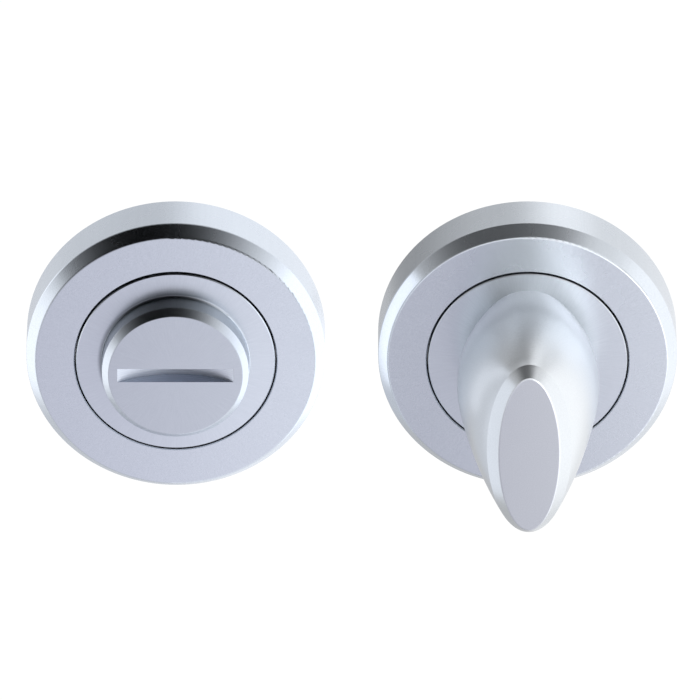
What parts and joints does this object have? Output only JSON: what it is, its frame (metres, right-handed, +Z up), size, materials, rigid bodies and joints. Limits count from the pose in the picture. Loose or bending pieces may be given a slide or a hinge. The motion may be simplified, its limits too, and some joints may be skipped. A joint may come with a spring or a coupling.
{
  "type": "bathroom thumb turn and release set",
  "caption": "Round-rose bathroom lock furniture: an oval thumb turn with its square spindle, and the coin-slot emergency release for the door's other side, in satin metal.",
  "frame": {"origin": "centre of the thumb turn's door face, on its axis; the release's axis is 61.2 mm away along -X", "axes": "+Y into the door, square to both roses' door faces, so the knob and the coin slot face -Y; +X from the release to the turn; +Z up"},
  "size_m": [0.1132, 0.0838, 0.052],
  "materials": {
    "satin_chrome": "satin chrome plate, fine grain",
    "zinc_casting": "bare zinc casting",
    "nylon": "natural nylon",
    "brass": "plain rolled brass",
    "plated_steel": "bright zinc plate",
    "spring_steel": "oiled spring steel"
  },
  "bodies": {
    "roses": {"turn_cover": "satin_chrome", "turn_base_plate": "zinc_casting", "turn_cover_clip": "spring_steel", "turn_bush": "nylon", "turn_thrust_washer": "brass", "turn_spring_washer": "spring_steel", "turn_bolts": "plated_steel", "release_cover": "satin_chrome", "release_base_plate": "zinc_casting", "release_cover_clip": "spring_steel", "release_bush": "nylon", "release_thrust_washer": "brass", "release_spring_washer": "spring_steel", "release_posts": "plated_steel"},
    "thumb_turn": {"turn_knob": "satin_chrome", "turn_disc": "satin_chrome", "turn_spindle": "plated_steel", "turn_pin": "spring_steel", "turn_circlip": "spring_steel"},
    "release": {"release_turn": "satin_chrome", "release_circlip": "spring_steel"}
  },
  "joints": [
    {"name": "thumb_turn_spin", "type": "hinge", "parent": "roses", "child": "thumb_turn", "pos_m": [0, 0, 0], "axis": [0, 1, 0], "range_deg": [-90, 90]},
    {"name": "release_spin", "type": "hinge", "parent": "roses", "child": "release", "pos_m": [-0.0612, 0, 0], "axis": [0, 1, 0], "range_deg": [-90, 90]}
  ]
}
